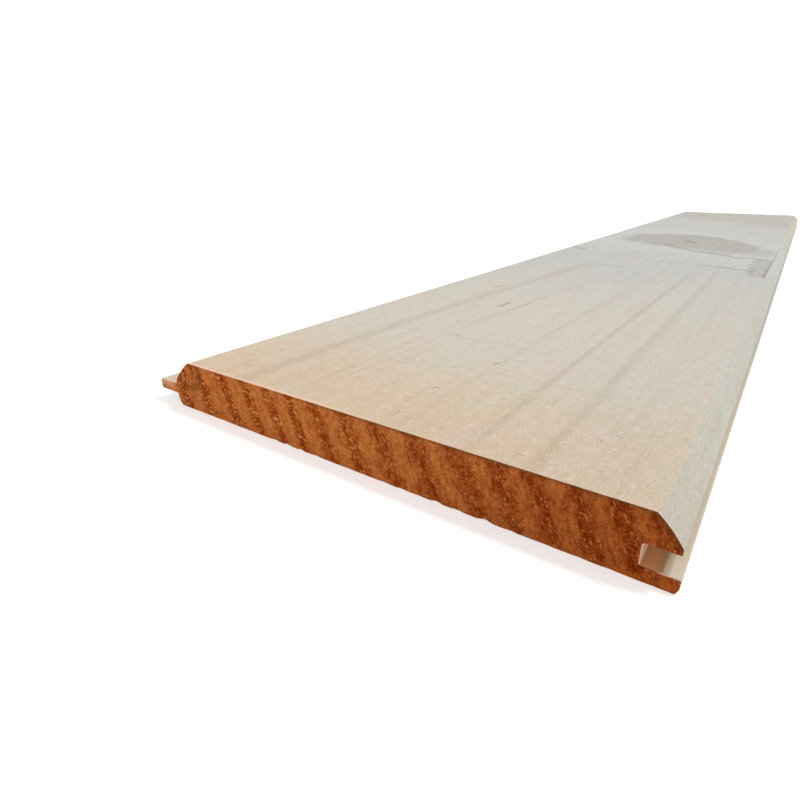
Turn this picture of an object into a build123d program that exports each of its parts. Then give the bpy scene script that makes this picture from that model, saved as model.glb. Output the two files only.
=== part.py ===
from build123d import *
import os

# Units and axes
# Millimetres. X runs across the board, tongue on -X and groove on +X. Y runs along the board.
# Z is up, out of the face that shows in the room, with the board lying on its back at Z = 0.

# Overall sizes
thickness = 14.5
face_width = 126.2
length = 786.0

# Groove side, from the face down: the bevel, the blunt nose below it, then the groove
groove_v_width = 4.9
groove_v_depth = 5.4
groove_v_crown = 0.25
nose_height = 1.35
groove_height = 4.4
groove_wall_inset = 1.2
back_lip_overhang = 0.7

# How the boards mesh
tongue_top_clearance = 0.95
tongue_bottom_clearance = 0.2
tongue_tip_clearance = 0.4
laying_gap = 1.8

# Tongue side, its bevel ending on a short upright shoulder above the tongue
tongue_v_width = 6.8
tongue_v_crown = 0.25
upper_shoulder_height = 1.0
back_shoulder_height = 0.8

# Eased corners
groove_arris_radius = 0.4
tongue_arris_radius = 2.4
v_foot_radius = 0.3
tongue_tip_radius = 0.9
groove_root_radius = 0.4
groove_floor_radius = 0.35
lip_radius = 0.35
back_ease_width = 0.5
back_ease_height = 1.2
shoulder_ease_width = 1.4
shoulder_ease_mid_width = 0.6
shoulder_ease_mid_height = 0.9

# Groove side, measured from the face arris above the groove
nose_x = groove_v_width
lip_x = nose_x + back_lip_overhang
groove_wall_x = -groove_wall_inset
nose_top_z = thickness - groove_v_depth
groove_top_z = nose_top_z - nose_height
groove_bottom_z = groove_top_z - groove_height
groove_depth = lip_x - groove_wall_x

# Tongue side, each mating size taken from the groove less its clearance
tongue_arris_x = -face_width
shoulder_x = tongue_arris_x - tongue_v_width
tongue_length = groove_depth + laying_gap - tongue_tip_clearance
tongue_tip_x = shoulder_x - tongue_length
tongue_top_z = groove_top_z - tongue_top_clearance
tongue_bottom_z = groove_bottom_z + tongue_bottom_clearance
tongue_v_foot_z = tongue_top_z + upper_shoulder_height
shoulder_ease_top_z = tongue_bottom_z - back_shoulder_height

# Corners of the board's section, clockwise from the face arris above the groove
corners = [
    (0.0, thickness),
    (nose_x, nose_top_z),
    (nose_x, groove_top_z),
    (groove_wall_x, groove_top_z),
    (groove_wall_x, groove_bottom_z),
    (lip_x, groove_bottom_z),
    (lip_x, back_ease_height),
    (lip_x - back_ease_width, 0.0),
    (shoulder_x + shoulder_ease_width, 0.0),
    (shoulder_x + shoulder_ease_mid_width, shoulder_ease_mid_height),
    (shoulder_x, shoulder_ease_top_z),
    (shoulder_x, tongue_bottom_z),
    (tongue_tip_x, tongue_bottom_z),
    (tongue_tip_x, tongue_top_z),
    (shoulder_x, tongue_top_z),
    (shoulder_x, tongue_v_foot_z),
    (tongue_arris_x, thickness),
]

# Corners that the planer and sanding leave rounded
rounded = [
    (groove_arris_radius, [corners[0]]),
    (tongue_arris_radius, [corners[16]]),
    (v_foot_radius, [corners[1], corners[15]]),
    (lip_radius, [corners[2], corners[5], corners[6], corners[7]]),
    (groove_root_radius, [corners[3]]),
    (groove_floor_radius, [corners[4]]),
    (lip_radius, [corners[8], corners[9], corners[10]]),
    (tongue_tip_radius, [corners[12], corners[13]]),
]


def corner(shape, point):
    """The vertex of a flat shape that is nearest to a point."""
    target = Vector(point[0], point[1])
    return min(shape.vertices(), key=lambda vertex: (Vector(vertex.X, vertex.Y) - target).length)


# The two bevels are slightly crowned, and every other side is straight
outline = [
    SagittaArc(corners[0], corners[1], groove_v_crown),
    *Polyline(*corners[1:16]).edges(),
    SagittaArc(corners[15], corners[16], tongue_v_crown),
    Line(corners[16], corners[0]),
]
section = make_face(outline)
for radius, points in rounded:
    for point in points:
        section = fillet(corner(section, point), radius)

# The board is the outline carried straight along its length, centred over the origin
middle_x = (lip_x + tongue_tip_x) / 2
board = extrude(Plane.XZ * Pos(-middle_x, 0) * section, amount=length / 2, both=True)
board = board.solid()

os.makedirs("parts", exist_ok=True)
export_step(board, "parts/ceiling_board.step")
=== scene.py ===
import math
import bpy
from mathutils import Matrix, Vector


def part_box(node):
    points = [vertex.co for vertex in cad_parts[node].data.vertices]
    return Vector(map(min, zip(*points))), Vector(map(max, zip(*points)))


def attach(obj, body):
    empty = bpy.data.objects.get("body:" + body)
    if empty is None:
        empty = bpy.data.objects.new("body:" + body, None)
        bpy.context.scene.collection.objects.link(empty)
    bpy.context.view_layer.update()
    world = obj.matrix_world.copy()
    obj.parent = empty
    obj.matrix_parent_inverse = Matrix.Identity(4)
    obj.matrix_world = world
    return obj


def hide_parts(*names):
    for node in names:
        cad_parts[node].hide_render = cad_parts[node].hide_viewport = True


bl_info = {
    "name": "Ceiling Panelling Board",
    "version": (1, 0, 0),
    "blender": (4, 5, 0),
    "location": "View3D > Sidebar > Board",
    "description": "Tongue and groove softwood board with growth rings, knot, sawn ends and a pale stage",
    "category": "Add Mesh",
}

import bpy
import numpy as np
from bpy.props import FloatProperty, FloatVectorProperty, PointerProperty
from bpy.types import Operator, Panel, PropertyGroup
from mathutils import Euler, Quaternion, Vector
from mathutils.geometry import delaunay_2d_cdt

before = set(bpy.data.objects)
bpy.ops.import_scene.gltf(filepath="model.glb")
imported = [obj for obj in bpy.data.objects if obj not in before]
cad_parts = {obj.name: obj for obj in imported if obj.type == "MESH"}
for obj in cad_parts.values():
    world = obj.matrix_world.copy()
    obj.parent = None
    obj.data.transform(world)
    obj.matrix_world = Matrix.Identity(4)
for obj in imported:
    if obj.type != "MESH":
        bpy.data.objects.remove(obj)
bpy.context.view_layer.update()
NODE_LOW, NODE_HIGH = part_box("ceiling_board")
THICKNESS = NODE_HIGH.z
MM = 0.001

# Radii of the eased corners
GROOVE_ARRIS_RADIUS = 0.4 * MM
TONGUE_ARRIS_RADIUS = 2.4 * MM
V_FOOT_RADIUS = 0.3 * MM
GROOVE_ROOT_RADIUS = 0.4 * MM
LIP_RADIUS = 0.35 * MM
TONGUE_TIP_RADIUS = 0.9 * MM

# Eased corners of the back, and the shoulder below the tongue
BACK_EASE_WIDTH = 0.5 * MM
BACK_EASE_HEIGHT = 1.2 * MM
BACK_SHOULDER_HEIGHT = 0.8 * MM
SHOULDER_EASE_WIDTH = 1.4 * MM
SHOULDER_EASE_MID_WIDTH = 0.6 * MM
SHOULDER_EASE_MID_HEIGHT = 0.9 * MM

# Distances of the closely spaced sections from a sawn end, and where the even ones start
END_ROWS = np.array([0, 0.12, 0.28, 0.5, 0.8, 1.2, 1.7, 2.4, 3.4, 4.8]) * MM
EVEN_ROWS_START = 6.8 * MM

# Wear of the edge at the sawn ends: its depth and how far it reaches in
END_WEAR_DEPTH = 0.07 * MM
END_WEAR_REACH = 0.14 * MM

# The wood's figure is laid out in board thicknesses from the groove side face arris at the near end:
# x across, y along and z up from the face.

# Where the dark latewood lines meet the face near the front end
RING_PLACES = (
    -11.4, -10.6, -9.9, -9.2, -8.48, -7.75, -7.12, -6.45, -5.9, -5.27,
    -4.63, -3.97, -3.3, -2.6, -2.1, -1.58, -0.95, -0.45, 0.15, 0.75, 1.35,
)
# How far the rings lean across the thickness, as run over rise
RING_LEAN = 0.43
# Slow waves of the rings: height, turn for each thickness along and across, and start
RING_WAVES = ((0.05, 0.69, 1.1, 0.0), (0.022, 1.9, -2.3, 1.0))
# The middle of the knot
KNOT_PLACE = (-4.15, 27.6, 0.0)
# The point in the tongue side corner of the sawn ends that the wood curls round
SWIRL_PLACE = (-8.72, 0.0, -0.17)
# Where the saw tore the lower arris most: middle and reach
TORN_STRETCHES = ((-5.95, 0.5), (-2.45, 0.95))

# Ring lines that show on the face: place across at the near end, drift over the first 20 thicknesses,
# half width and strength
FACE_LINES = (
    (-7.07, 1.3, 0.34, 0.32),
    (-5.64, 1.8, 0.07, 0.18),
    (-3.65, 0.6, 0.18, 0.16),
    (-2.44, 0.2, 0.12, 0.36),
    (-1.5, -0.1, 0.18, 0.26),
    (-0.75, 0.00, 0.14, 0.12),
)

# Marks on the face, each a stroke: start across and along, end across and along, half width and strength
FACE_STROKES = (
    # Resin line with a dark split in it
    (-5.62, 5.9, -5.22, 9.4, 0.045, 0.18),
    (-5.8, 8.05, -5.76, 8.6, 0.055, 0.62),
    (-5.3, 8.6, -4.95, 12.4, 0.05, 0.13),
    # Ticks and hooks
    (-3.71, 3.5, -3.67, 3.55, 0.055, 0.58),
    (-5.35, 4.8, -5.3, 4.84, 0.05, 0.38),
    (-4.01, 1.7, -3.97, 1.76, 0.04, 0.4),
    (-7.12, 10.4, -7.04, 10.9, 0.06, 0.35),
    (-4.23, 2.84, -4.12, 2.99, 0.03, 0.28),
    (-7.78, 0.62, -7.59, 0.6, 0.028, 0.32),
    (-7.59, 0.6, -7.55, 0.74, 0.028, 0.3),
    (-7.86, 1.7, -7.83, 1.83, 0.03, 0.3),
    (-3.93, 0.5, -3.78, 0.61, 0.025, 0.26),
    (-1.84, 0.25, -1.82, 0.34, 0.018, 0.35),
    (-1.82, 0.34, -1.74, 0.34, 0.018, 0.32),
    (-1.05, 1.38, -0.99, 1.32, 0.022, 0.32),
    (-0.89, 1.65, -0.81, 1.6, 0.022, 0.3),
    (-1.86, 0.17, -1.78, 0.18, 0.016, 0.3),
    # Faint lines across the board
    (-5.75, 4.72, -4.6, 4.78, 0.055, 0.13),
    (-4.6, 4.78, -3.05, 4.66, 0.07, 0.1),
    (-3.5, 3.0, -1.25, 3.06, 0.06, 0.09),
    (-5.75, 2.34, -4.1, 2.88, 0.05, 0.07),
    (-3.65, 0.42, -2.95, 0.42, 0.03, 0.09),
    # Faint marks before the knot
    (-6.05, 17.05, -4.75, 17.2, 0.18, 0.14),
    (-5.6, 20.65, -4.5, 19.8, 0.2, 0.12),
    (-5.62, 22.25, -5.22, 21.7, 0.2, 0.2),
    (-8.68, 22.5, -7.9, 21.75, 0.3, 0.24),
    # Thin line across the board, and the one beside the groove side arris
    (-3.9, 19.66, -2.2, 19.47, 0.17, 0.2),
    (-2.2, 19.47, -0.53, 18.84, 0.19, 0.36),
    (0.03, 27.8, -0.03, 21.5, 0.055, 0.34),
    (-0.03, 21.5, -0.08, 17.35, 0.06, 0.42),
    # Dark line along the near side of the knot
    (-5.65, 26.4, -4.9, 26.0, 0.28, 0.26),
    (-4.9, 26.0, -4.2, 24.85, 0.28, 0.34),
    (-4.2, 24.85, -3.3, 23.95, 0.3, 0.4),
    (-3.3, 23.95, -1.8, 22.95, 0.28, 0.42),
    (-1.8, 22.95, -1.3, 22.35, 0.24, 0.34),
    (-1.25, 22.75, -0.3, 22.5, 0.24, 0.28),
)

# Lesser tones of the planed wood, as seen on a screen
GROOVE_SIDE_TONE = (0.765, 0.745, 0.7)
PINK_CLOUD = (0.85, 0.775, 0.735)
GREEN_CLOUD = (0.8, 0.8, 0.725)
BEVEL_TONE = (0.755, 0.76, 0.715)
PALE_FIBRE = (0.92, 0.9, 0.85)
GREY_LINE = (0.64, 0.605, 0.56)
KNOT_SURROUND = (0.805, 0.815, 0.805)
KNOT_OUTER_RING = (0.64, 0.61, 0.57)
KNOT_CORE = (0.53, 0.43, 0.42)
PATCH_TONE = (0.62, 0.62, 0.6)
FAR_BEIGE = (0.715, 0.695, 0.66)
FAR_BEVEL = (0.8, 0.765, 0.69)
FAR_EDGE_DARK = (0.44, 0.42, 0.4)
# Painted highlight on the face's arris at the sawn end
ARRIS_HIGHLIGHT = (0.95, 0.8, 0.7)

# Tones inside the groove: the lip's tone, the upper lip's painted shadow on the floor with its painted
# penumbra and darker painted edge, and painted light on the wall
LIP_NEAR = (0.836, 0.79, 0.704)
LIP_FAR = (0.775, 0.765, 0.735)
PAINTED_PENUMBRA = (0.735, 0.68, 0.575)
PAINTED_LIP_SHADOW = (0.8, 0.575, 0.395)
PAINTED_SHADOW_EDGE = (0.55, 0.47, 0.33)
PAINTED_WALL_LIGHT = (1.0, 0.86, 0.74)

# Lesser tones of the sawn ends
DAMP_SHADE = (0.835, 0.745, 0.675)
END_PIT = (0.42, 0.15, 0.0)
TONGUE_END = (0.955, 0.748, 0.575)
UPPER_RIM = (0.38, 0.25, 0.12)
BACK_GLOW = (0.8, 0.42, 0.12)
# Painted highlight on the lip's arris at the groove's floor
LIP_ARRIS_HIGHLIGHT = (0.95, 0.8, 0.66)

# The stage: how much brighter the floor is to the eye, its reach, and the lamps' places and spreads
FLOOR_GLOW = 0.45
FLOOR_REACH = 30.0
OVERHEAD_PLACE = (0.42, 0.35, 1.0)
OVERHEAD_SPREAD = math.radians(11)
FRONT_PLACE = (-0.3, -1.0, 0.4)
FRONT_SPREAD = math.radians(60)


# Sizes and colours a user would change

def size_of(label, about, millimetres):
    """A length setting, its default given in millimetres."""
    return FloatProperty(name=label, description=about, default=millimetres * MM, unit="LENGTH")


def turn_of(label, about, degrees):
    """An angle setting, its default given in degrees."""
    return FloatProperty(name=label, description=about, default=math.radians(degrees), unit="ROTATION")


def amount_of(label, about, value, least=0):
    """A setting that is a plain number."""
    return FloatProperty(name=label, description=about, default=value, min=least)


def colour_of(label, about, screen):
    """A colour setting, its default given as seen on a screen."""
    return FloatVectorProperty(
        name=label, description=about, subtype="COLOR_GAMMA", size=3, default=screen, min=0, max=1
    )


class BoardSizes(PropertyGroup):
    """Sizes of the board's section and of the small relief on it."""

    groove_bevel_width: size_of("Groove bevel width", "Width of the bevel above the groove", 4.9)
    groove_bevel_depth: size_of("Groove bevel depth", "Depth of the bevel above the groove", 5.4)
    groove_bevel_crown: size_of("Groove bevel crown", "How far the bevel above the groove bulges", 0.25)
    nose_height: size_of("Nose height", "Upright land between the bevel and the groove", 1.35)
    groove_height: size_of("Groove height", "Clear height of the groove", 4.4)
    lip_overhang: size_of("Back lip overhang", "How far the back lip passes the nose", 0.7)
    wall_inset: size_of("Groove wall inset", "How far the groove's wall lies inside the face arris", 1.2)
    tongue_bevel_width: size_of("Tongue bevel width", "Width of the bevel above the tongue", 6.8)
    tongue_bevel_crown: size_of("Tongue bevel crown", "How far the bevel above the tongue bulges", 0.25)
    shoulder_height: size_of("Shoulder height", "Upright land between the bevel and the tongue", 1.0)
    tongue_length: size_of("Tongue length", "How far the tongue stands out of the shoulder", 8.2)
    tongue_top_clearance: size_of("Clearance over tongue", "Gap from a tongue to the groove's top", 0.95)
    tongue_bottom_clearance: size_of("Clearance under tongue", "Gap from a tongue to the groove's floor", 0.2)
    outline_step: size_of("Outline step", "Spacing of the points round the section", 1.0)
    length_step: size_of("Length step", "Spacing of the sections along the board", 5.0)
    end_step: size_of("End grain step", "Spacing of the points on the sawn ends", 0.52)
    grain_relief: size_of("Raised grain", "Depth of the earlywood below the latewood lines", 0.035)
    saw_relief: size_of("Saw marks", "Roughness of the sawn ends", 0.14)
    chip_depth: size_of("Chip depth", "Deepest chip the saw left along the back at the ends", 0.6)
    chip_length: size_of("Chip length", "How far a chip runs in from the end", 1.6)


class BoardColours(PropertyGroup):
    """Colours of the planed faces and of the sawn end grain, as seen on a screen."""

    cream: colour_of("Planed wood", "Main colour of the planed face", (0.831, 0.8, 0.742))
    peach: colour_of("Warm planed wood", "Warmer wood near the front end", (0.855, 0.75, 0.625))
    silver: colour_of("Cool planed wood", "Greyer wood towards the far end", (0.757, 0.757, 0.744))
    ring_line: colour_of("Latewood line", "Growth ring lines on the planed face", (0.69, 0.61, 0.53))
    knot: colour_of("Knot wood", "Wood in and round the knot", (0.668, 0.658, 0.635))
    resin: colour_of("Resin", "Resin streaks and pin marks", (0.42, 0.3, 0.23))
    end_pale: colour_of("Earlywood on the ends", "Paler part of each ring on the ends", (0.868, 0.53, 0.268))
    end_dark: colour_of("Latewood on the ends", "Dark part of each ring on the ends", (0.56, 0.215, 0.0))
    # Colour of the paler torn fibres with their painted glints
    end_fleck_glint: colour_of("Bright flecks", "Torn fibres that catch light on the ends", (0.96, 0.655, 0.385))


class StageSettings(PropertyGroup):
    """Floor, lights and the camera's stance."""

    eye: FloatVectorProperty(
        name="Camera place", description="Where the camera stands", subtype="XYZ", unit="LENGTH", size=3,
        default=(0.075866, -0.475513, 0.064531),
    )
    heading: turn_of("Heading", "Turn of the view to the left of the board's length", 35.541)
    tilt: turn_of("Tilt", "How far the view points down", 23.018)
    roll: turn_of("Roll", "Turn about the line of sight", -0.089)
    lens: amount_of("Focal length", "In millimetres on a sensor 36 mm wide", 24.037, 1)
    floor: colour_of("Floor colour", "Colour of the floor", (0.93, 0.93, 0.93))
    sky_strength: amount_of("Soft light", "Strength of the light from all round", 0.5)
    key_strength: amount_of("Main light", "Strength of the light from above, a little behind", 1.42)
    fill_strength: amount_of("Front light", "Strength of the soft light on the near end", 0.62)


# Section of the board

def face_arris(sizes):
    """Place across the board of the groove side face arris."""
    return NODE_HIGH.x - sizes.lip_overhang - sizes.groove_bevel_width


def board_corners(sizes):
    """Corners of the section, clockwise from the groove side face arris, each corner's rounding radius, and
    the crown of the side that follows it.

    Groove side corners are measured from the arris; the tongue takes its height from the groove less the two
    clearances, and its place from the board's tongue side limit.
    """
    top = NODE_HIGH.z
    nose = NODE_HIGH.x - sizes.lip_overhang
    lip = NODE_HIGH.x
    arris = face_arris(sizes)
    wall = arris - sizes.wall_inset
    nose_top = top - sizes.groove_bevel_depth
    groove_top = nose_top - sizes.nose_height
    groove_floor = groove_top - sizes.groove_height
    tip = NODE_LOW.x
    shoulder = tip + sizes.tongue_length
    left_arris = shoulder + sizes.tongue_bevel_width
    tongue_top = groove_top - sizes.tongue_top_clearance
    tongue_floor = groove_floor + sizes.tongue_bottom_clearance
    groove_bevel = (arris, top, GROOVE_ARRIS_RADIUS, sizes.groove_bevel_crown)
    tongue_bevel = (shoulder, tongue_top + sizes.shoulder_height, V_FOOT_RADIUS, sizes.tongue_bevel_crown)
    corners = np.array([
        groove_bevel,
        (nose, nose_top, V_FOOT_RADIUS, 0),
        (nose, groove_top, LIP_RADIUS, 0),
        (wall, groove_top, GROOVE_ROOT_RADIUS, 0),
        (wall, groove_floor, LIP_RADIUS, 0),
        (lip, groove_floor, LIP_RADIUS, 0),
        (lip, BACK_EASE_HEIGHT, LIP_RADIUS, 0),
        (lip - BACK_EASE_WIDTH, 0, LIP_RADIUS, 0),
        (shoulder + SHOULDER_EASE_WIDTH, 0, LIP_RADIUS, 0),
        (shoulder + SHOULDER_EASE_MID_WIDTH, SHOULDER_EASE_MID_HEIGHT, LIP_RADIUS, 0),
        (shoulder, tongue_floor - BACK_SHOULDER_HEIGHT, LIP_RADIUS, 0),
        (shoulder, tongue_floor, 0, 0),
        (tip, tongue_floor, TONGUE_TIP_RADIUS, 0),
        (tip, tongue_top, TONGUE_TIP_RADIUS, 0),
        (shoulder, tongue_top, 0, 0),
        tongue_bevel,
        (left_arris, top, TONGUE_ARRIS_RADIUS, 0),
    ])
    return corners[:, :2], corners[:, 2], corners[:, 3]


def rounded_outline(points, radii, crowns, step):
    """Closed outline with every corner turned into an arc and every side split into even steps.

    An arc touches both sides at radius over tan(half the corner's angle) from the corner, and its centre lies
    on the corner's bisector at radius over sin(half the angle). A crowned side bulges by four times its crown
    times the share run times the share left.
    """
    to_last = np.roll(points, 1, axis=0) - points
    to_next = np.roll(points, -1, axis=0) - points
    to_last /= np.linalg.norm(to_last, axis=1, keepdims=True)
    to_next /= np.linalg.norm(to_next, axis=1, keepdims=True)
    half = np.arccos(np.clip((to_last * to_next).sum(1), -1, 1)) / 2
    reach = radii / np.tan(half)
    starts = points + to_last * reach[:, None]
    ends = points + to_next * reach[:, None]
    bisector = to_last + to_next
    bisector /= np.linalg.norm(bisector, axis=1, keepdims=True)
    centres = points + bisector * (radii / np.sin(half))[:, None]
    pieces = []
    for i in range(len(points)):
        if radii[i] > 0:
            a, b = starts[i] - centres[i], ends[i] - centres[i]
            sweep = math.pi - 2 * half[i]
            steps = max(2, int(round(sweep / math.radians(16))))
            share = np.linspace(0, 1, steps + 1)[:, None]
            arc = (np.sin((1 - share) * sweep) * a + np.sin(share * sweep) * b) / math.sin(sweep)
            pieces.append(centres[i] + arc)
        else:
            pieces.append(points[i:i + 1])
        run = starts[(i + 1) % len(points)] - ends[i]
        length = np.linalg.norm(run)
        steps = max(1, int(math.ceil(length / step)))
        share = (np.arange(1, steps) / steps)[:, None]
        outward = np.array([-run[1], run[0]]) / length
        pieces.append(ends[i] + run * share + outward * (4 * crowns[i] * share * (1 - share)))
    return np.concatenate(pieces)


def outward_normals(outline):
    """Unit normals of a clockwise outline: the step from last to next point, turned a quarter left."""
    along = np.roll(outline, -1, axis=0) - np.roll(outline, 1, axis=0)
    along /= np.linalg.norm(along, axis=1, keepdims=True)
    return np.stack([-along[:, 1], along[:, 0]], axis=1)


# Wood figure as numbers, for the mesh's relief

def ring_place(x, y, z):
    """Place across the growth rings, in thicknesses: x plus lean times z, plus the slow waves."""
    wave = sum(height * np.sin(along * y + across * x + start) for height, along, across, start in RING_WAVES)
    return x + RING_LEAN * z + wave


def latewood(place):
    """How much a place lies in latewood: a bump on each ring place that ends 0.22 of a ring from it."""
    phase = np.interp(place, RING_PLACES, np.arange(len(RING_PLACES)))
    away = np.abs(phase - np.round(phase))
    return np.clip(1 - away / 0.22, 0, 1) ** 1.5


def ripple(seed, u, v):
    """Smooth made-up unevenness: a sum of five sine waves with fixed directions, lengths and starts."""
    rng = np.random.default_rng(seed)
    angles = rng.uniform(0, math.tau, 5)
    starts = rng.uniform(0, math.tau, 5)
    pitch = rng.uniform(0.6, 1.7, 5)
    total = np.zeros(np.broadcast(u, v).shape)
    for angle, start, size in zip(angles, starts, pitch):
        total = total + np.sin(size * (u * math.cos(angle) + v * math.sin(angle)) + start)
    return total / 5


def board_rows(sizes):
    """Places along the board: close together at both sawn ends, then even."""
    low, high = NODE_LOW.y, NODE_HIGH.y
    even_low, even_high = low + EVEN_ROWS_START, high - EVEN_ROWS_START
    count = int(round((even_high - even_low) / sizes.length_step))
    even = np.linspace(even_low, even_high, count + 1)
    return np.concatenate([low + END_ROWS, even, (high - END_ROWS)[::-1]])


def chip_lift(outline, normals, in_from_end, sizes):
    """How far the saw's chips lift the back of the board: rows by outline points.

    Two ripples across the board make the chips, bell curves make them deeper on the torn stretches, and they
    shrink to nothing over the chip length, by the power 1.5.
    """
    across = outline[:, 0]
    x = (across - face_arris(sizes)) / THICKNESS
    chips = ripple(4, across / (1.05 * MM), 0.0) + 0.5 * ripple(9, across / (0.5 * MM), 0.0)
    torn = 0.15 + 0.85 * sum(np.exp(-((x - middle) / reach) ** 2) for middle, reach in TORN_STRETCHES)
    chips = np.minimum(1.5 * np.clip(chips - 0.08, 0, 1) * torn, 1)
    on_back = np.clip(1 - outline[:, 1] / (0.5 * MM), 0, 1) * (np.abs(normals[:, 1]) > 0.9)
    fade = np.clip(1 - in_from_end / sizes.chip_length, 0, 1) ** 1.5
    return sizes.chip_depth * (chips * on_back)[None, :] * fade


def board_shell(sizes):
    """The section carried along the board, in metres: rows by outline points.

    Each point is the outline moved inwards by the raised grain's depth times what isn't latewood, and by the
    wear at the sawn ends. Along the back it is lifted by the chips that the saw broke out.
    """
    outline = rounded_outline(*board_corners(sizes), sizes.outline_step)
    normals = outward_normals(outline)
    rows = board_rows(sizes)
    x = ((outline[:, 0] - face_arris(sizes)) / THICKNESS)[None, :]
    z = ((outline[:, 1] - THICKNESS) / THICKNESS)[None, :]
    y = ((rows - NODE_LOW.y) / THICKNESS)[:, None]
    in_from_end = np.minimum(rows - NODE_LOW.y, NODE_HIGH.y - rows)[:, None]
    sunk = sizes.grain_relief * (1 - latewood(ring_place(x, y, z)))
    sunk = sunk + END_WEAR_DEPTH * np.exp(-in_from_end / END_WEAR_REACH)
    place = outline[None, :, :] - normals[None, :, :] * sunk[:, :, None]
    vertices = np.empty((len(rows), len(outline), 3))
    vertices[:, :, 0] = place[:, :, 0]
    vertices[:, :, 1] = rows[:, None]
    vertices[:, :, 2] = place[:, :, 1] + chip_lift(outline, normals, in_from_end, sizes)
    return vertices


def inside(polygon, points):
    """Which points lie inside a closed polygon, by counting the sides that a line to the right crosses."""
    ax, az = polygon[:, 0], polygon[:, 1]
    bx, bz = np.roll(ax, -1), np.roll(az, -1)
    px, pz = points[:, 0:1], points[:, 1:2]
    spans = (az[None] > pz) != (bz[None] > pz)
    rise = np.where(bz == az, 1.0, bz - az)
    crossing = ax[None] + (pz - az[None]) * ((bx - ax) / rise)[None]
    return (spans & (px < crossing)).sum(1) % 2 == 1


def distance_to(polygon, points):
    """Distance from each point to the nearest side of a closed polygon."""
    side = (np.roll(polygon, -1, axis=0) - polygon)[None]
    offset = points[:, None] - polygon[None]
    share = np.clip((offset * side).sum(2) / (side * side).sum(2), 0, 1)
    return np.sqrt(((offset - side * share[..., None]) ** 2).sum(2)).min(1)


def sawn_end(ring, sizes, sign):
    """Inner points and triangles of one sawn end, filled between the points of its outline.

    Inner points stand on a staggered grid and are sunk along the board by the crushed earlywood and by fine
    saw ripples, which fade out at the outline.
    """
    edge = ring[:, [0, 2]]
    step = sizes.end_step
    xs = np.arange(NODE_LOW.x, NODE_HIGH.x, step)
    zs = np.arange(0, NODE_HIGH.z, step * 0.87)
    gx, gz = np.meshgrid(xs, zs)
    gx = gx + (np.arange(len(zs)) % 2)[:, None] * step / 2
    grid = np.stack([gx.ravel(), gz.ravel()], axis=1)
    grid = grid[inside(edge, grid)]
    apart = distance_to(edge, grid)
    clear = apart > step * 0.5
    grid, apart = grid[clear], apart[clear]
    everything = np.concatenate([edge, grid])
    x = (grid[:, 0] - face_arris(sizes)) / THICKNESS
    z = (grid[:, 1] - THICKNESS) / THICKNESS
    y = 0.0 if sign < 0 else (NODE_HIGH.y - NODE_LOW.y) / THICKNESS
    soft = 1 - latewood(ring_place(x, y, z))
    rough = 0.5 + 0.5 * ripple(21, grid[:, 0] / (0.8 * MM), grid[:, 1] / (0.45 * MM))
    depth = sizes.saw_relief * (0.6 * soft + 0.4 * rough) * np.clip(apart / (1.0 * MM), 0, 1)
    scaled = [Vector(point) for point in everything * 1000]
    result = delaunay_2d_cdt(scaled, [], [list(range(len(edge)))], 1, 1e-6)
    origin = np.array([ids[0] for ids in result[3]])
    triangles = origin[np.array(result[2])]
    inner = np.stack([grid[:, 0], ring[0, 1] - sign * depth, grid[:, 1]], axis=1)
    a, b, c = (everything[triangles[:, k]] for k in range(3))
    turn = (b[:, 0] - a[:, 0]) * (c[:, 1] - a[:, 1]) - (b[:, 1] - a[:, 1]) * (c[:, 0] - a[:, 0])
    flip = (turn > 0) if sign > 0 else (turn < 0)
    triangles[flip] = triangles[flip][:, ::-1]
    return inner, triangles


def board_mesh(sizes):
    """The whole closed board: the shell's quads between its rows, and one filled sawn end at each end."""
    shell = board_shell(sizes)
    rows, count = shell.shape[:2]
    at = np.arange(rows * count).reshape(rows, count)
    right = np.roll(at, -1, axis=1)
    quads = np.stack([at[:-1], right[:-1], right[1:], at[1:]], axis=-1).reshape(-1, 4)
    near_inner, near_faces = sawn_end(shell[0], sizes, -1)
    far_inner, far_faces = sawn_end(shell[-1], sizes, 1)
    base = rows * count
    near_map = np.concatenate([at[0], base + np.arange(len(near_inner))])
    far_map = np.concatenate([at[-1], base + len(near_inner) + np.arange(len(far_inner))])
    vertices = np.concatenate([shell.reshape(-1, 3), near_inner, far_inner])
    triangles = np.concatenate([near_map[near_faces], far_map[far_faces]])
    corners = np.concatenate([quads.ravel(), triangles.ravel()]).astype(np.int32)
    starts = np.concatenate([np.arange(len(quads)) * 4, quads.size + np.arange(len(triangles)) * 3])
    sawn = np.concatenate([np.zeros(len(quads), np.int32), np.ones(len(triangles), np.int32)])
    mesh = bpy.data.meshes.new("board_wood")
    mesh.vertices.add(len(vertices))
    mesh.vertices.foreach_set("co", vertices.astype(np.float32).ravel())
    mesh.loops.add(len(corners))
    mesh.loops.foreach_set("vertex_index", corners)
    mesh.polygons.add(len(starts))
    mesh.polygons.foreach_set("loop_start", starts.astype(np.int32))
    mesh.polygons.foreach_set("material_index", sawn)
    mesh.polygons.foreach_set("use_smooth", np.ones(len(starts), bool))
    mesh.update(calc_edges=True)
    mesh.validate()
    mesh.set_sharp_from_angle(angle=math.radians(34))
    return mesh


# Materials

def linear(colour):
    """A screen colour as the linear light the shader works with, by the standard two-part curve."""
    c = np.asarray(colour[:3], float)
    low, high = c / 12.92, ((c + 0.055) / 1.055) ** 2.4
    return tuple(np.where(c <= 0.04045, low, high)) + (1.0,)


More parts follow.
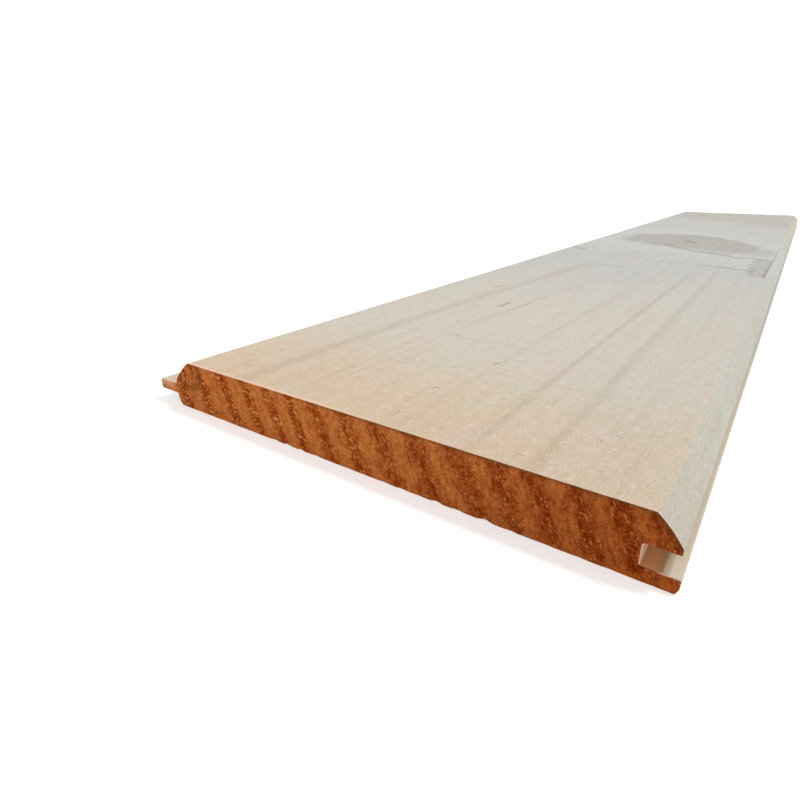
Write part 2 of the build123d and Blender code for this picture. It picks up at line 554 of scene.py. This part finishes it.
class Net:
    """Places nodes in one shader tree and joins them; most methods give back the new node's output."""

    def __init__(self, tree):
        self.tree = tree
        self.placed = 0

    def node(self, kind, **settings):
        new = self.tree.nodes.new(kind)
        for name, value in settings.items():
            setattr(new, name, value)
        new.location = (180 * (self.placed // 8), -190 * (self.placed % 8))
        self.placed += 1
        return new

    def feed(self, socket, value):
        if isinstance(value, bpy.types.NodeSocket):
            self.tree.links.new(value, socket)
        elif value is not None:
            socket.default_value = value

    def fill(self, node, *values):
        """Feeds a node's first inputs in their order."""
        for socket, value in zip(node.inputs, values):
            self.feed(socket, value)

    def give(self, node, **values):
        """Feeds a node's inputs by name, an underscore standing for each space."""
        for name, value in values.items():
            self.feed(node.inputs[name.replace("_", " ")], value)

    def maths(self, operation, a, b=None, c=None, clamp=False):
        new = self.node("ShaderNodeMath", operation=operation, use_clamp=clamp)
        self.fill(new, a, b, c)
        return new.outputs[0]

    def plus(self, a, b):
        return self.maths("ADD", a, b)

    def minus(self, a, b):
        return self.maths("SUBTRACT", a, b)

    def times(self, a, *others):
        for other in others:
            a = self.maths("MULTIPLY", a, other)
        return a

    def times_plus(self, a, b, c):
        return self.maths("MULTIPLY_ADD", a, b, c)

    def vector(self, operation, a, b=None, scale=None):
        new = self.node("ShaderNodeVectorMath", operation=operation)
        self.fill(new, a, b)
        if scale is not None:
            self.feed(new.inputs["Scale"], scale)
        return new.outputs["Value" if operation in ("LENGTH", "DISTANCE", "DOT_PRODUCT") else "Vector"]

    def split(self, vector):
        new = self.node("ShaderNodeSeparateXYZ")
        self.feed(new.inputs[0], vector)
        return new.outputs[0], new.outputs[1], new.outputs[2]

    def join(self, x, y, z):
        new = self.node("ShaderNodeCombineXYZ")
        self.fill(new, x, y, z)
        return new.outputs[0]

    def ramp(self, value, low, high, start=0.0, end=1.0, smooth=True):
        """Start below low, end above high, and an even or a soft change from one to the other in between."""
        new = self.node("ShaderNodeMapRange", interpolation_type="SMOOTHSTEP" if smooth else "LINEAR")
        self.fill(new, value, low, high, start, end)
        return new.outputs[0]

    def fall(self, value, low, high):
        """1 below low, 0 above high, and a soft change in between."""
        return self.ramp(value, low, high, 1.0, 0.0)

    def blend(self, share, a, b, way="MIX"):
        new = self.node("ShaderNodeMix", data_type="RGBA", blend_type=way)
        self.feed(new.inputs[0], share)
        self.feed(new.inputs[6], a)
        self.feed(new.inputs[7], b)
        return new.outputs[2]

    def tint(self, share, colour, screen, way="MIX"):
        """A share of a screen colour blended into a colour."""
        return self.blend(share, colour, linear(screen), way)

    def noise(self, vector, scale, detail=2.0, roughness=0.5):
        new = self.node("ShaderNodeTexNoise", noise_dimensions="3D")
        self.give(new, Vector=vector, Scale=scale, Detail=detail, Roughness=roughness)
        return new.outputs["Fac"]

    def grain(self, vector, factors, detail=2.0, roughness=0.5):
        """Noise whose lumps are shorter by the given factors."""
        return self.noise(self.vector("MULTIPLY", vector, factors), 1.0, detail, roughness)

    def specks(self, vector, scale, size, share):
        """Soft specks in chosen cells: size is their reach in cells, share how many cells have one."""
        new = self.node("ShaderNodeTexVoronoi", feature="F1")
        self.give(new, Vector=vector, Scale=scale)
        chosen = self.maths("LESS_THAN", self.split(new.outputs["Color"])[0], share)
        return self.times(self.fall(new.outputs["Distance"], 0.3 * size, size), chosen)

    def group(self, tree, **inputs):
        new = self.node("ShaderNodeGroup")
        new.node_tree = tree
        self.give(new, **inputs)
        return new.outputs

    def bump(self, shader, height, strength, distance):
        """A bump of the given height on the shader's surface."""
        new = self.node("ShaderNodeBump")
        self.give(new, Height=height, Strength=strength, Distance=distance)
        self.give(shader, Normal=new.outputs[0])


def new_group(name, inputs, outputs):
    """A node group with these sockets: its tree, a Net on it, the input sockets and the output node."""
    tree = bpy.data.node_groups.new(name, "ShaderNodeTree")
    for label, value in inputs.items():
        kind = "NodeSocketFloat" if isinstance(value, float) else "NodeSocketVector"
        tree.interface.new_socket(label, in_out="INPUT", socket_type=kind).default_value = value
    for label in outputs:
        tree.interface.new_socket(label, in_out="OUTPUT", socket_type="NodeSocketFloat")
    net = Net(tree)
    return tree, net, net.node("NodeGroupInput").outputs, net.node("NodeGroupOutput")


def ring_group():
    """Growth rings: how much a place lies in latewood, how far it is from the nearest line, in rings, and its
    place across the rings.

    The place is x plus lean times z plus the slow waves, less a push away from the knot that dies out as a
    bell curve, plus ragged noise. A curve with one point for each ring turns it into a count of rings.
    """
    tree, net, given, result = new_group(
        "growth rings",
        {"Place": (0, 0, 0), "Knot Place": KNOT_PLACE, "Raggedness": 0.05},
        ["Latewood", "Away", "Across"],
    )
    x, y, z = net.split(given["Place"])
    place = net.times_plus(z, RING_LEAN, x)
    for height, along, across, start in RING_WAVES:
        angle = net.plus(net.plus(net.times(y, along), net.times(x, across)), start)
        place = net.times_plus(net.maths("SINE", angle), height, place)
    from_knot = net.vector("SUBTRACT", given["Place"], given["Knot Place"])
    from_knot = net.vector("MULTIPLY", from_knot, (0.5, 0.21, 0.0))
    near_knot = net.maths("POWER", math.e, net.times(net.vector("DOT_PRODUCT", from_knot, from_knot), -1.0))
    place = net.minus(place, net.times(net.split(from_knot)[0], near_knot, 2.3))
    ragged = net.noise(net.vector("MULTIPLY", given["Place"], (3.0, 0.12, 3.0)), 1.6, 3.0, 0.6)
    place = net.times_plus(net.minus(ragged, 0.5), given["Raggedness"], place)
    curve = net.node("ShaderNodeFloatCurve")
    points = curve.mapping.curves[0].points
    first, last, steps = RING_PLACES[0], RING_PLACES[-1], len(RING_PLACES) - 1
    for number, ring in enumerate(RING_PLACES[1:-1], start=1):
        points.new((ring - first) / (last - first), number / steps)
    for point in points:
        point.handle_type = "VECTOR"
    curve.mapping.update()
    net.give(curve, Value=net.ramp(place, first, last, smooth=False))
    phase = net.times(curve.outputs[0], float(steps))
    away = net.maths("ABSOLUTE", net.minus(phase, net.maths("ROUND", phase)))
    line = net.ramp(away, 0.0, 0.3, 1.0, 0.0, smooth=False)
    net.give(result, Latewood=net.maths("POWER", line, 1.5), Away=away, Across=place)
    return tree


def fibre_group():
    """Long thin fibres: noise stretched along the board, from fine hairs to broader streaks."""
    tree, net, given, result = new_group("wood fibres", {"Place": (0, 0, 0)}, ["Hairs", "Streaks"])
    hairs = net.grain(given["Place"], (34.0, 1.1, 34.0), 3.0, 0.65)
    net.give(result, Hairs=hairs, Streaks=net.grain(given["Place"], (5.2, 0.22, 5.2), 3.0, 0.6))
    return tree


def stroke_group():
    """One soft stroke between two points of the face, with a ragged edge: how much a place lies on it."""
    tree, net, given, result = new_group(
        "stroke",
        {"Place": (0, 0, 0), "Start": (0, 0, 0), "End": (0, 1, 0), "Half Width": 0.1, "Ragged": 0.7},
        ["Mask"],
    )
    from_start = net.vector("SUBTRACT", given["Place"], given["Start"])
    run = net.vector("SUBTRACT", given["End"], given["Start"])
    onto_run, run_squared = net.vector("DOT_PRODUCT", from_start, run), net.vector("DOT_PRODUCT", run, run)
    share = net.maths("DIVIDE", onto_run, run_squared, clamp=True)
    apart = net.vector("LENGTH", net.vector("SUBTRACT", from_start, net.vector("SCALE", run, scale=share)))
    torn = net.minus(net.grain(given["Place"], (11.0, 3.0, 11.0), 3.0), 0.5)
    ratio = net.times_plus(torn, given["Ragged"], net.maths("DIVIDE", apart, given["Half Width"]))
    net.give(result, Mask=net.fall(ratio, 0.2, 1.0))
    return tree


def board_place(net, arris):
    """Object coordinates in board thicknesses, from the groove side face arris at the near end."""
    corner = (arris, NODE_LOW.y, NODE_HIGH.z)
    moved = net.vector("SUBTRACT", net.node("ShaderNodeTexCoord").outputs["Object"], corner)
    return net.vector("SCALE", moved, scale=1 / THICKNESS)


def emptied(material):
    """A Net on the material's own tree, with nothing in it."""
    material.use_nodes = True
    material.node_tree.nodes.clear()
    return Net(material.node_tree)


def surface(material):
    """The material's own Principled shader and a Net on its emptied tree."""
    net = emptied(material)
    shader = net.node("ShaderNodeBsdfPrincipled")
    net.fill(net.node("ShaderNodeOutputMaterial"), shader.outputs[0])
    return net, shader


def wood_tone(net, place, colours):
    """Warm wood near the front end, cream in the middle and silver grey beyond, duller by the groove, with
    faint pink and green clouds and a cooler bevel."""
    x, y, z = net.split(place)
    clouds = net.grain(place, (0.55, 0.12, 0.8), 2.0, 0.5)
    warm = net.fall(net.times_plus(clouds, 2.0, y), 1.0, 5.8)
    cool = net.ramp(net.times_plus(clouds, 9.0, y), 9.0, 24.0)
    colour = net.blend(warm, linear(colours.cream), linear(colours.peach))
    colour = net.tint(net.times(net.ramp(x, -3.5, 0.0), 0.3), colour, GROOVE_SIDE_TONE)
    colour = net.tint(cool, colour, colours.silver)
    hue = net.grain(place, (0.9, 0.45, 1.0), 2.0, 0.55)
    strength = net.ramp(y, 6.0, 18.0, 0.45, 0.14)
    colour = net.tint(net.times(net.ramp(hue, 0.5, 0.72), strength), colour, PINK_CLOUD)
    colour = net.tint(net.times(net.fall(hue, 0.28, 0.5), strength), colour, GREEN_CLOUD)
    bevel = net.times(net.ramp(x, 0.0, 0.05), net.ramp(z, -0.44, -0.4))
    return net.tint(net.times(bevel, 0.6), colour, BEVEL_TONE)


def wood_figure(net, place, ring, fibre, colours, colour):
    """Ring lines, hairs and a fine mottling of paler and darker fibres."""
    x, y, _ = net.split(place)
    line = linear(colours.ring_line)
    band = net.fall(ring["Away"], 0.0, 0.34)
    streak = net.ramp(fibre["Streaks"], 0.4, 0.66, 0.0, 0.12)
    colour = net.blend(net.times(band, streak), colour, line)

    # The lines that show most drift with the square of y, and turn grey and fade towards the knot
    drift = net.times(y, y, 1 / 400)
    fade = net.ramp(y, 14.0, 21.0, 1.0, 0.22)
    greyer = net.tint(net.ramp(y, 2.0, 10.0), line, GREY_LINE)
    for start, shift, half_width, strength in FACE_LINES:
        apart = net.maths("ABSOLUTE", net.minus(x, net.times_plus(drift, shift, start)))
        mark = net.ramp(apart, 0.0, half_width, strength, 0.0)
        colour = net.blend(net.times(mark, fade), colour, greyer)

    for noise, amount in (
        (net.grain(place, (6.0, 4.2, 6.0), 4.0, 0.7), 0.38),
        (net.grain(place, (25.0, 16.0, 25.0), 2.0, 0.6), 0.4),
        (fibre["Hairs"], 0.12),
    ):
        colour = net.tint(net.ramp(noise, 0.5, 0.78, 0.0, amount), colour, PALE_FIBRE)
        colour = net.blend(net.ramp(noise, 0.22, 0.5, amount, 0.0), colour, line)
    return colour


def knot_figure(net, place, colours, colour):
    """The large knot: a reddish core in a brown lens that leans to the groove side, cool pale wood round it.

    The lens is an ellipse whose middle line falls along a bend: 28.6 less 0.45 times (u plus the root of u
    squared plus 1), where u is the place across from the core.
    """
    x, y, z = net.split(place)
    u = net.plus(x, 4.0)
    bend = net.plus(u, net.maths("SQRT", net.times_plus(u, u, 1.0)))
    above = net.minus(y, net.times_plus(bend, -0.45, 28.6))
    wobble = net.minus(net.grain(place, (1.0, 0.35, 1.0), 3.0), 0.5)
    shape = net.join(net.times(u, 1 / 4.0), net.times(above, 1 / 3.7), net.times(z, 0.5))
    far = net.times_plus(wobble, 0.5, net.vector("LENGTH", shape))

    # Pale cool wood round the lens, the lens, and its darker outer ring on the far side
    colour = net.tint(net.ramp(far, 1.0, 2.4, 0.45, 0.0), colour, KNOT_SURROUND)
    colour = net.tint(net.ramp(far, 0.7, 1.08, 0.92, 0.0), colour, colours.knot)
    outer = net.ramp(net.maths("ABSOLUTE", net.minus(far, 0.84)), 0.0, 0.22, 0.42, 0.0)
    colour = net.tint(net.times(outer, net.ramp(above, -0.5, 1.5)), colour, KNOT_OUTER_RING)

    # Fine inner rings, then the core
    inner = net.ramp(net.maths("SINE", net.times(far, 30.0)), 0.0, 1.0, 0.0, 0.1)
    colour = net.tint(net.times(inner, net.fall(far, 0.5, 0.9)), colour, colours.resin)
    across = net.plus(x, 4.08)
    tilted = net.times_plus(across, 1.7, net.minus(y, 28.05))
    core = net.join(net.times(across, 1.6), net.times(tilted, 1.4), 0.0)
    return net.tint(net.ramp(net.vector("LENGTH", core), 0.1, 1.1, 0.62, 0.0), colour, KNOT_CORE)


def far_end_figure(net, place, colour):
    """A toothed patch by the groove side arris, the beige last stretch with its dark far edge, and the warm
    far part of the groove side bevel."""
    x, y, _ = net.split(place)
    tooth = net.maths("PINGPONG", net.times(y, 1.9), 1.0)
    inward = net.times_plus(tooth, 0.16, x)
    patch = net.times(net.ramp(inward, -0.66, -0.56), net.fall(x, -0.04, 0.0))
    patch = net.times(patch, net.times(net.ramp(y, 17.2, 17.9), net.fall(y, 22.3, 23.0)))
    mottling = net.grain(place, (5.0, 1.6, 5.0), 3.0, 0.6)
    colour = net.tint(net.times(patch, net.ramp(mottling, 0.35, 0.62, 0.35, 0.85)), colour, PATCH_TONE)
    beyond = net.minus(y, net.times_plus(x, -0.95, 39.2))
    drifts = net.grain(place, (0.8, 0.22, 0.8), 3.0, 0.6)
    beyond = net.times_plus(net.minus(drifts, 0.5), 6.0, beyond)
    colour = net.tint(net.ramp(beyond, -2.2, 1.6, 0.0, 0.85), colour, FAR_BEIGE)
    warm_bevel = net.times(net.ramp(x, 0.0, 0.05), net.ramp(y, 24.0, 40.0, 0.0, 0.75))
    colour = net.tint(warm_bevel, colour, FAR_BEVEL)
    # Darker along the far edge, most towards the tongue side
    far_edge_darkening = net.times(net.ramp(y, 52.9, 53.9), net.ramp(x, -6.9, -6.2, 0.8, 0.3))
    return net.tint(far_edge_darkening, colour, FAR_EDGE_DARK)


def groove_tone_and_painted_light(net, place, colour):
    """Painted shade and light in the groove: the lip's tone on the floor, a brown painted shadow of the upper
    lip deep on it, a grey green painted penumbra half way out with a darker painted edge, and painted light
    on the pale peach wall behind.
    """
    x, y, z = net.split(place)
    facing_x, _, facing_z = net.split(net.node("ShaderNodeTexCoord").outputs["Normal"])
    within = net.times(net.fall(z, -0.5, -0.46), net.ramp(x, -0.1, -0.09))
    floor = net.times(within, net.ramp(facing_z, 0.4, 0.6))
    lip = net.tint(net.ramp(y, 3.0, 16.0), linear(LIP_NEAR), LIP_FAR)
    colour = net.blend(floor, colour, lip)
    # Painted penumbra: a grey green band half way out on the floor, where the upper lip's shadow fades
    colour = net.tint(net.times(floor, net.fall(x, 0.24, 0.262)), colour, PAINTED_PENUMBRA)
    # Painted shadow of the upper lip: brown deep on the floor
    colour = net.tint(net.times(floor, net.fall(x, 0.155, 0.18)), colour, PAINTED_LIP_SHADOW)
    # Painted darker edge of that shadow, growing towards it
    shadow_edge_mask = net.times(floor, net.ramp(x, 0.06, 0.17, 0.0, 0.35), net.fall(x, 0.17, 0.185))
    colour = net.tint(shadow_edge_mask, colour, PAINTED_SHADOW_EDGE)
    # Painted light on the groove's wall, which faces the open side
    wall = net.times(net.ramp(facing_x, 0.4, 0.6), net.fall(x, 0.0, 0.05))
    return net.tint(net.times(within, wall), colour, PAINTED_WALL_LIGHT)


def planed_material(rings, fibres, stroke, arris, colours):
    """Planed faces: the wood's tone, the knot, the far end, the figure, the groove with its painted shade and
    light, the small marks, and a painted highlight on the arris at the sawn end.
    """
    material = bpy.data.materials.new("planed_pine")
    net, shader = surface(material)
    place = board_place(net, arris)
    x, y, z = net.split(place)
    ring = net.group(rings, Place=place, Raggedness=0.05)
    fibre = net.group(fibres, Place=place)
    colour = wood_tone(net, place, colours)
    colour = knot_figure(net, place, colours, colour)
    colour = far_end_figure(net, place, colour)
    colour = wood_figure(net, place, ring, fibre, colours, colour)
    colour = groove_tone_and_painted_light(net, place, colour)
    marks = 0.0
    for *start, across, along, half_width, strength in FACE_STROKES:
        end = (across, along, 0)
        mark = net.group(stroke, Place=place, Start=(*start, 0), End=end, Half_Width=half_width)
        marks = net.maths("MAXIMUM", net.times(mark["Mask"], strength), marks)
    colour = net.tint(marks, colour, colours.resin)

    # Painted highlight: the arris at the sawn end is paler, most of all towards the tongue
    arris_highlight_mask = net.times(net.fall(y, 0.04, 0.1), net.ramp(x, -5.6, -3.2, 0.7, 0.1))
    colour = net.tint(net.times(arris_highlight_mask, net.ramp(z, -0.5, -0.46)), colour, ARRIS_HIGHLIGHT)

    roughness = net.ramp(fibre["Streaks"], 0.3, 0.7, 0.56, 0.7)
    net.give(shader, Base_Color=colour, Roughness=roughness, Specular_IOR_Level=0.3)
    height = net.plus(net.times(fibre["Hairs"], 0.5), net.times(ring["Latewood"], 0.25))
    net.bump(shader, height, 0.35, 0.12 * MM)
    return material


def end_rims(net, place, threads, colour):
    """Edges of the sawn end: dark below the face and the bevel, glowing in patches along the back, and a
    painted highlight on the arris at the groove's floor and lip.

    The upper edge's height is the greater of z and the place across the bevel, 0.74 x plus 0.67 z.
    """
    x, _, z = net.split(place)
    uneven = net.minus(threads, 0.5)
    slant = net.times_plus(x, 0.74, net.times(z, 0.672))
    edge = net.times_plus(uneven, 0.07, net.maths("MAXIMUM", z, slant))
    shade = net.times(net.ramp(edge, -0.085, -0.012), net.ramp(x, -7.2, -4.5, 0.0, 0.55))
    colour = net.tint(shade, colour, UPPER_RIM)
    patches = net.ramp(net.noise(place, 1.7, 2.0, 0.6), 0.42, 0.66, 0.0, 0.5)
    glow = net.fall(net.times_plus(uneven, 0.35, z), -1.0, -0.86)
    colour = net.tint(net.times(glow, patches), colour, BACK_GLOW)
    # Painted highlight along the arris where the sawn end meets the groove's floor, on the lip
    lip_arris_highlight_mask = net.times(net.ramp(net.times_plus(uneven, 0.04, z), -0.8, -0.78), net.ramp(x, 0.1, 0.16))
    return net.tint(net.times(lip_arris_highlight_mask, net.ramp(z, -0.76, -0.74, 0.8, 0.0)), colour, LIP_ARRIS_HIGHLIGHT)


def sawn_material(rings, arris, colours):
    """Sawn end grain: bands of crumbly latewood, threads along them, bright specks with painted glints and
    dark pits.
    """
    material = bpy.data.materials.new("sawn_end_grain")
    net, shader = surface(material)
    place = board_place(net, arris)
    x, y, z = net.split(place)

    # The wood curls round a point in the tongue side corner
    swirl = net.vector("DISTANCE", place, SWIRL_PLACE)
    curled = net.fall(swirl, 0.22, 0.46)
    curl_rings = net.fall(net.maths("PINGPONG", net.plus(swirl, 0.05), 0.1), 0.03, 0.08)
    ring = net.group(rings, Place=place, Raggedness=0.22)

    # Coordinates along and across the rings, so that threads and flecks lie along the bands
    across = net.blend(curled, ring["Across"], net.times(swirl, 1.2))
    straight = net.times_plus(z, RING_LEAN, x)
    along = net.minus(z, net.times(x, RING_LEAN))
    depth = net.times(y, 0.4)
    threads = net.noise(net.join(across, depth, net.times(along, 0.32)), 22.0, 3.0, 0.65)
    ropes = net.noise(net.join(across, depth, net.times(along, 0.46)), 7.5, 4.0, 0.68)
    crumbs = net.noise(place, 24.0, 3.0, 0.65)
    ticks = net.noise(net.join(net.times(across, 0.3), depth, along), 24.0, 1.0, 0.5)

    # How dark the wood is: the bands, short ticks across them, then threads, ropes and crumbs
    band = net.fall(ring["Away"], 0.04, net.ramp(x, -6.5, -3.5, 0.36, 0.48))
    band = net.blend(curled, band, curl_rings)
    rightwards = net.ramp(x, -7.3, -4.8)
    dark = net.times_plus(band, net.ramp(rightwards, 0.0, 1.0, 0.37, 0.38), 0.34)
    twist = net.times(band, net.ramp(rightwards, 0.0, 1.0, 2.2, 0.45))
    dark = net.times_plus(net.minus(ticks, 0.5), twist, dark)
    lumpy = net.ramp(rightwards, 0.0, 1.0, 1.25, 1.45)
    for noise, amount in ((threads, 1.1), (ropes, lumpy), (crumbs, 1.1)):
        dark = net.times_plus(net.minus(noise, 0.5), amount, dark)
    shade = net.ramp(dark, 0.06, 0.9, smooth=False)
    colour = net.blend(shade, linear(colours.end_pale), linear(colours.end_dark))
    damp = net.ramp(net.times_plus(ropes, 1.5, x), -4.2, 1.6)
    colour = net.tint(damp, colour, DAMP_SHADE, "MULTIPLY")

    # Painted glints: specks and short dashes of paler torn fibres that catch the light, most of them in the
    # latewood, and dark pits
    more = net.times(net.times_plus(band, 0.65, 0.25), net.ramp(x, -8.4, -7.0, 1.5, 1.0))
    fine = net.ramp(x, -8.0, -3.0, 1.0, 1.45)
    speck_place = net.vector("SCALE", net.join(straight, depth, net.times(along, 0.7)), scale=fine)
    dots = net.specks(speck_place, 12.0, 0.43, 0.46)
    dashes = net.specks(net.join(straight, depth, net.times(along, 0.24)), 24.0, 0.42, 0.2)
    glint_flecks = net.maths("MAXIMUM", dots, dashes)
    bright = net.times(more, net.ramp(x, -6.5, -1.5, 1.0, 0.5))
    colour = net.tint(net.times(glint_flecks, bright), colour, colours.end_fleck_glint)
    pit = net.specks(net.vector("ADD", speck_place, (3.1, 7.7, 1.3)), 15.0, 0.4, 0.4)
    colour = net.tint(net.times(pit, net.times(more, 0.6)), colour, END_PIT)

    # The thin tongue is paler than the rest, most of all on its upper half
    upper = net.ramp(net.times_plus(threads, 0.1, z), -0.7, -0.46, 0.12, 0.85)
    colour = net.tint(net.times(net.fall(x, -9.5, -9.1), upper), colour, TONGUE_END)
    colour = end_rims(net, place, threads, colour)

    roughness = net.ramp(threads, 0.3, 0.7, 0.8, 0.95)
    net.give(shader, Base_Color=colour, Roughness=roughness, Specular_IOR_Level=0.04)
    height = net.times_plus(glint_flecks, 0.4, net.plus(ropes, net.times(crumbs, 0.7)))
    net.bump(shader, height, 0.9, 0.45 * MM)
    return material


# Stage

def seen_plainly(net):
    """1 for rays from the camera and through gloss or glass, 0 for the light that falls on things."""
    path = net.node("ShaderNodeLightPath").outputs
    mirrored = net.maths("MAXIMUM", path["Is Glossy Ray"], path["Is Transmission Ray"])
    return net.maths("MAXIMUM", path["Is Camera Ray"], mirrored)


def stage_material(colour):
    """Pale floor that the camera, gloss and glass see a little brighter than it is lit, with shadows kept."""
    material = bpy.data.materials.new("stage_floor")
    net = emptied(material)
    diffuse = net.node("ShaderNodeBsdfDiffuse")
    net.give(diffuse, Color=linear(colour))
    glow = net.node("ShaderNodeEmission")
    net.give(glow, Color=(1, 1, 1, 1), Strength=net.times(seen_plainly(net), FLOOR_GLOW))
    both = net.node("ShaderNodeAddShader")
    net.fill(both, diffuse.outputs[0], glow.outputs[0])
    net.fill(net.node("ShaderNodeOutputMaterial"), both.outputs[0])
    return material


def white_world(strength):
    """Even white light from all round, seen as plain white by the camera, gloss and glass."""
    world = bpy.data.worlds.new("stage_world")
    net = emptied(world)
    sky = net.node("ShaderNodeBackground")
    seen = net.ramp(seen_plainly(net), 0.0, 1.0, strength, 1.0, smooth=False)
    net.give(sky, Color=(1, 1, 1, 1), Strength=seen)
    net.fill(net.node("ShaderNodeOutputWorld"), sky.outputs[0])
    return world


def far_lamp(name, source, spread, strength):
    """A lamp so far away that its light is even; it comes from the side of source, softened over an angle."""
    data = bpy.data.lights.new(name, "SUN")
    data.angle = spread
    data.energy = strength
    lamp = bpy.data.objects.new(name, data)
    lamp.location = source
    lamp.rotation_euler = (-Vector(source)).to_track_quat("-Z", "Y").to_euler()
    bpy.context.scene.collection.objects.link(lamp)


# Operators

class BuildBoard(Operator):
    """Builds the board with its wood figure in place of the plain CAD solid"""

    bl_idname = "ceiling_board.build_board"
    bl_label = "Build board"

    def execute(self, context):
        sizes, colours = context.scene.board_sizes, context.scene.board_colours
        arris = face_arris(sizes)
        mesh = board_mesh(sizes)
        rings = ring_group()
        mesh.materials.append(planed_material(rings, fibre_group(), stroke_group(), arris, colours))
        mesh.materials.append(sawn_material(rings, arris, colours))
        board = bpy.data.objects.new("panelling_board", mesh)
        context.scene.collection.objects.link(board)
        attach(board, "root")
        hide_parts("ceiling_board")
        return {"FINISHED"}


class SetStage(Operator):
    """Sets the pale floor, the soft lights and the camera"""

    bl_idname = "ceiling_board.set_stage"
    bl_label = "Set stage"

    def execute(self, context):
        settings = context.scene.board_stage
        scene = context.scene
        scene.view_settings.view_transform = "Standard"
        scene.world = white_world(settings.sky_strength)

        reach = FLOOR_REACH
        mesh = bpy.data.meshes.new("floor")
        corners = [(-reach, -reach, 0), (reach, -reach, 0), (reach, reach, 0), (-reach, reach, 0)]
        mesh.from_pydata(corners, [], [(0, 1, 2, 3)])
        mesh.materials.append(stage_material(settings.floor))
        floor = bpy.data.objects.new("floor", mesh)
        scene.collection.objects.link(floor)

        far_lamp("overhead_lamp", OVERHEAD_PLACE, OVERHEAD_SPREAD, settings.key_strength)
        far_lamp("front_lamp", FRONT_PLACE, FRONT_SPREAD, settings.fill_strength)

        data = bpy.data.cameras.new("camera")
        data.sensor_width = 36.0
        data.lens = settings.lens
        data.clip_start = 0.002
        data.clip_end = 200.0
        camera = bpy.data.objects.new("camera", data)
        camera.location = settings.eye
        aim = Euler((math.pi / 2 - settings.tilt, 0.0, settings.heading)).to_quaternion()
        camera.rotation_euler = (aim @ Quaternion((0, 0, 1), settings.roll)).to_euler()
        scene.collection.objects.link(camera)
        scene.camera = camera
        return {"FINISHED"}


class BoardPanel(Panel):
    """Lists the board's settings and its two builders"""

    bl_idname = "VIEW3D_PT_ceiling_board"
    bl_label = "Ceiling board"
    bl_space_type = "VIEW_3D"
    bl_region_type = "UI"
    bl_category = "Board"

    def draw(self, context):
        scene = context.scene
        for group in (scene.board_sizes, scene.board_colours, scene.board_stage):
            box = self.layout.box()
            for name in group.__annotations__:
                box.prop(group, name)
        self.layout.operator(BuildBoard.bl_idname)
        self.layout.operator(SetStage.bl_idname)


CLASSES = (BoardSizes, BoardColours, StageSettings, BuildBoard, SetStage, BoardPanel)


def register():
    for item in CLASSES:
        bpy.utils.register_class(item)
    bpy.types.Scene.board_sizes = PointerProperty(type=BoardSizes)
    bpy.types.Scene.board_colours = PointerProperty(type=BoardColours)
    bpy.types.Scene.board_stage = PointerProperty(type=StageSettings)


def unregister():
    del bpy.types.Scene.board_stage
    del bpy.types.Scene.board_colours
    del bpy.types.Scene.board_sizes
    for item in reversed(CLASSES):
        bpy.utils.unregister_class(item)


def main():
    register()
    bpy.ops.ceiling_board.set_stage()
    bpy.ops.ceiling_board.build_board()


if __name__ == "__main__":
    main()
